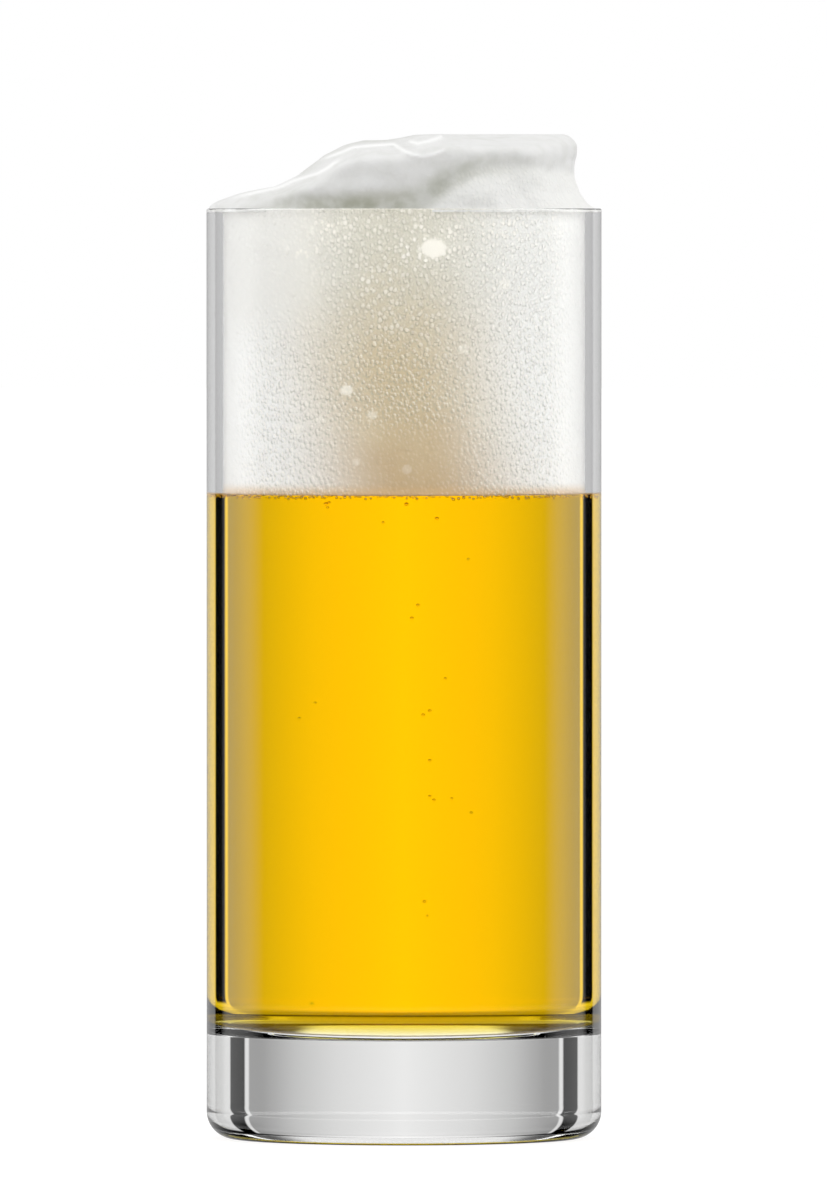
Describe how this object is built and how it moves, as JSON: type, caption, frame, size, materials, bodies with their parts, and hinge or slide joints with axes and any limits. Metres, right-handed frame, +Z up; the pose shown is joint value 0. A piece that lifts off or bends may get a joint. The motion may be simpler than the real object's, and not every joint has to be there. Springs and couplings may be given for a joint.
{
  "type": "beer glass",
  "caption": "Tall straight-sided beer tumbler with a heavy solid base, filled with golden lager and a head of foam that heaps up above the rim.",
  "frame": {"origin": "on the glass's axis, on the surface that its base stands on", "axes": "+Z up along the glass's axis, -Y towards the front, from which the heap of foam is high on the right, +X to the right"},
  "size_m": [0.066, 0.066, 0.1678],
  "materials": {
    "glass": "polished",
    "beer": "gloss",
    "foam": "matte"
  },
  "bodies": {
    "root": {"tumbler": "glass", "beer": "beer", "foam_head": "foam"}
  },
  "joints": []
}
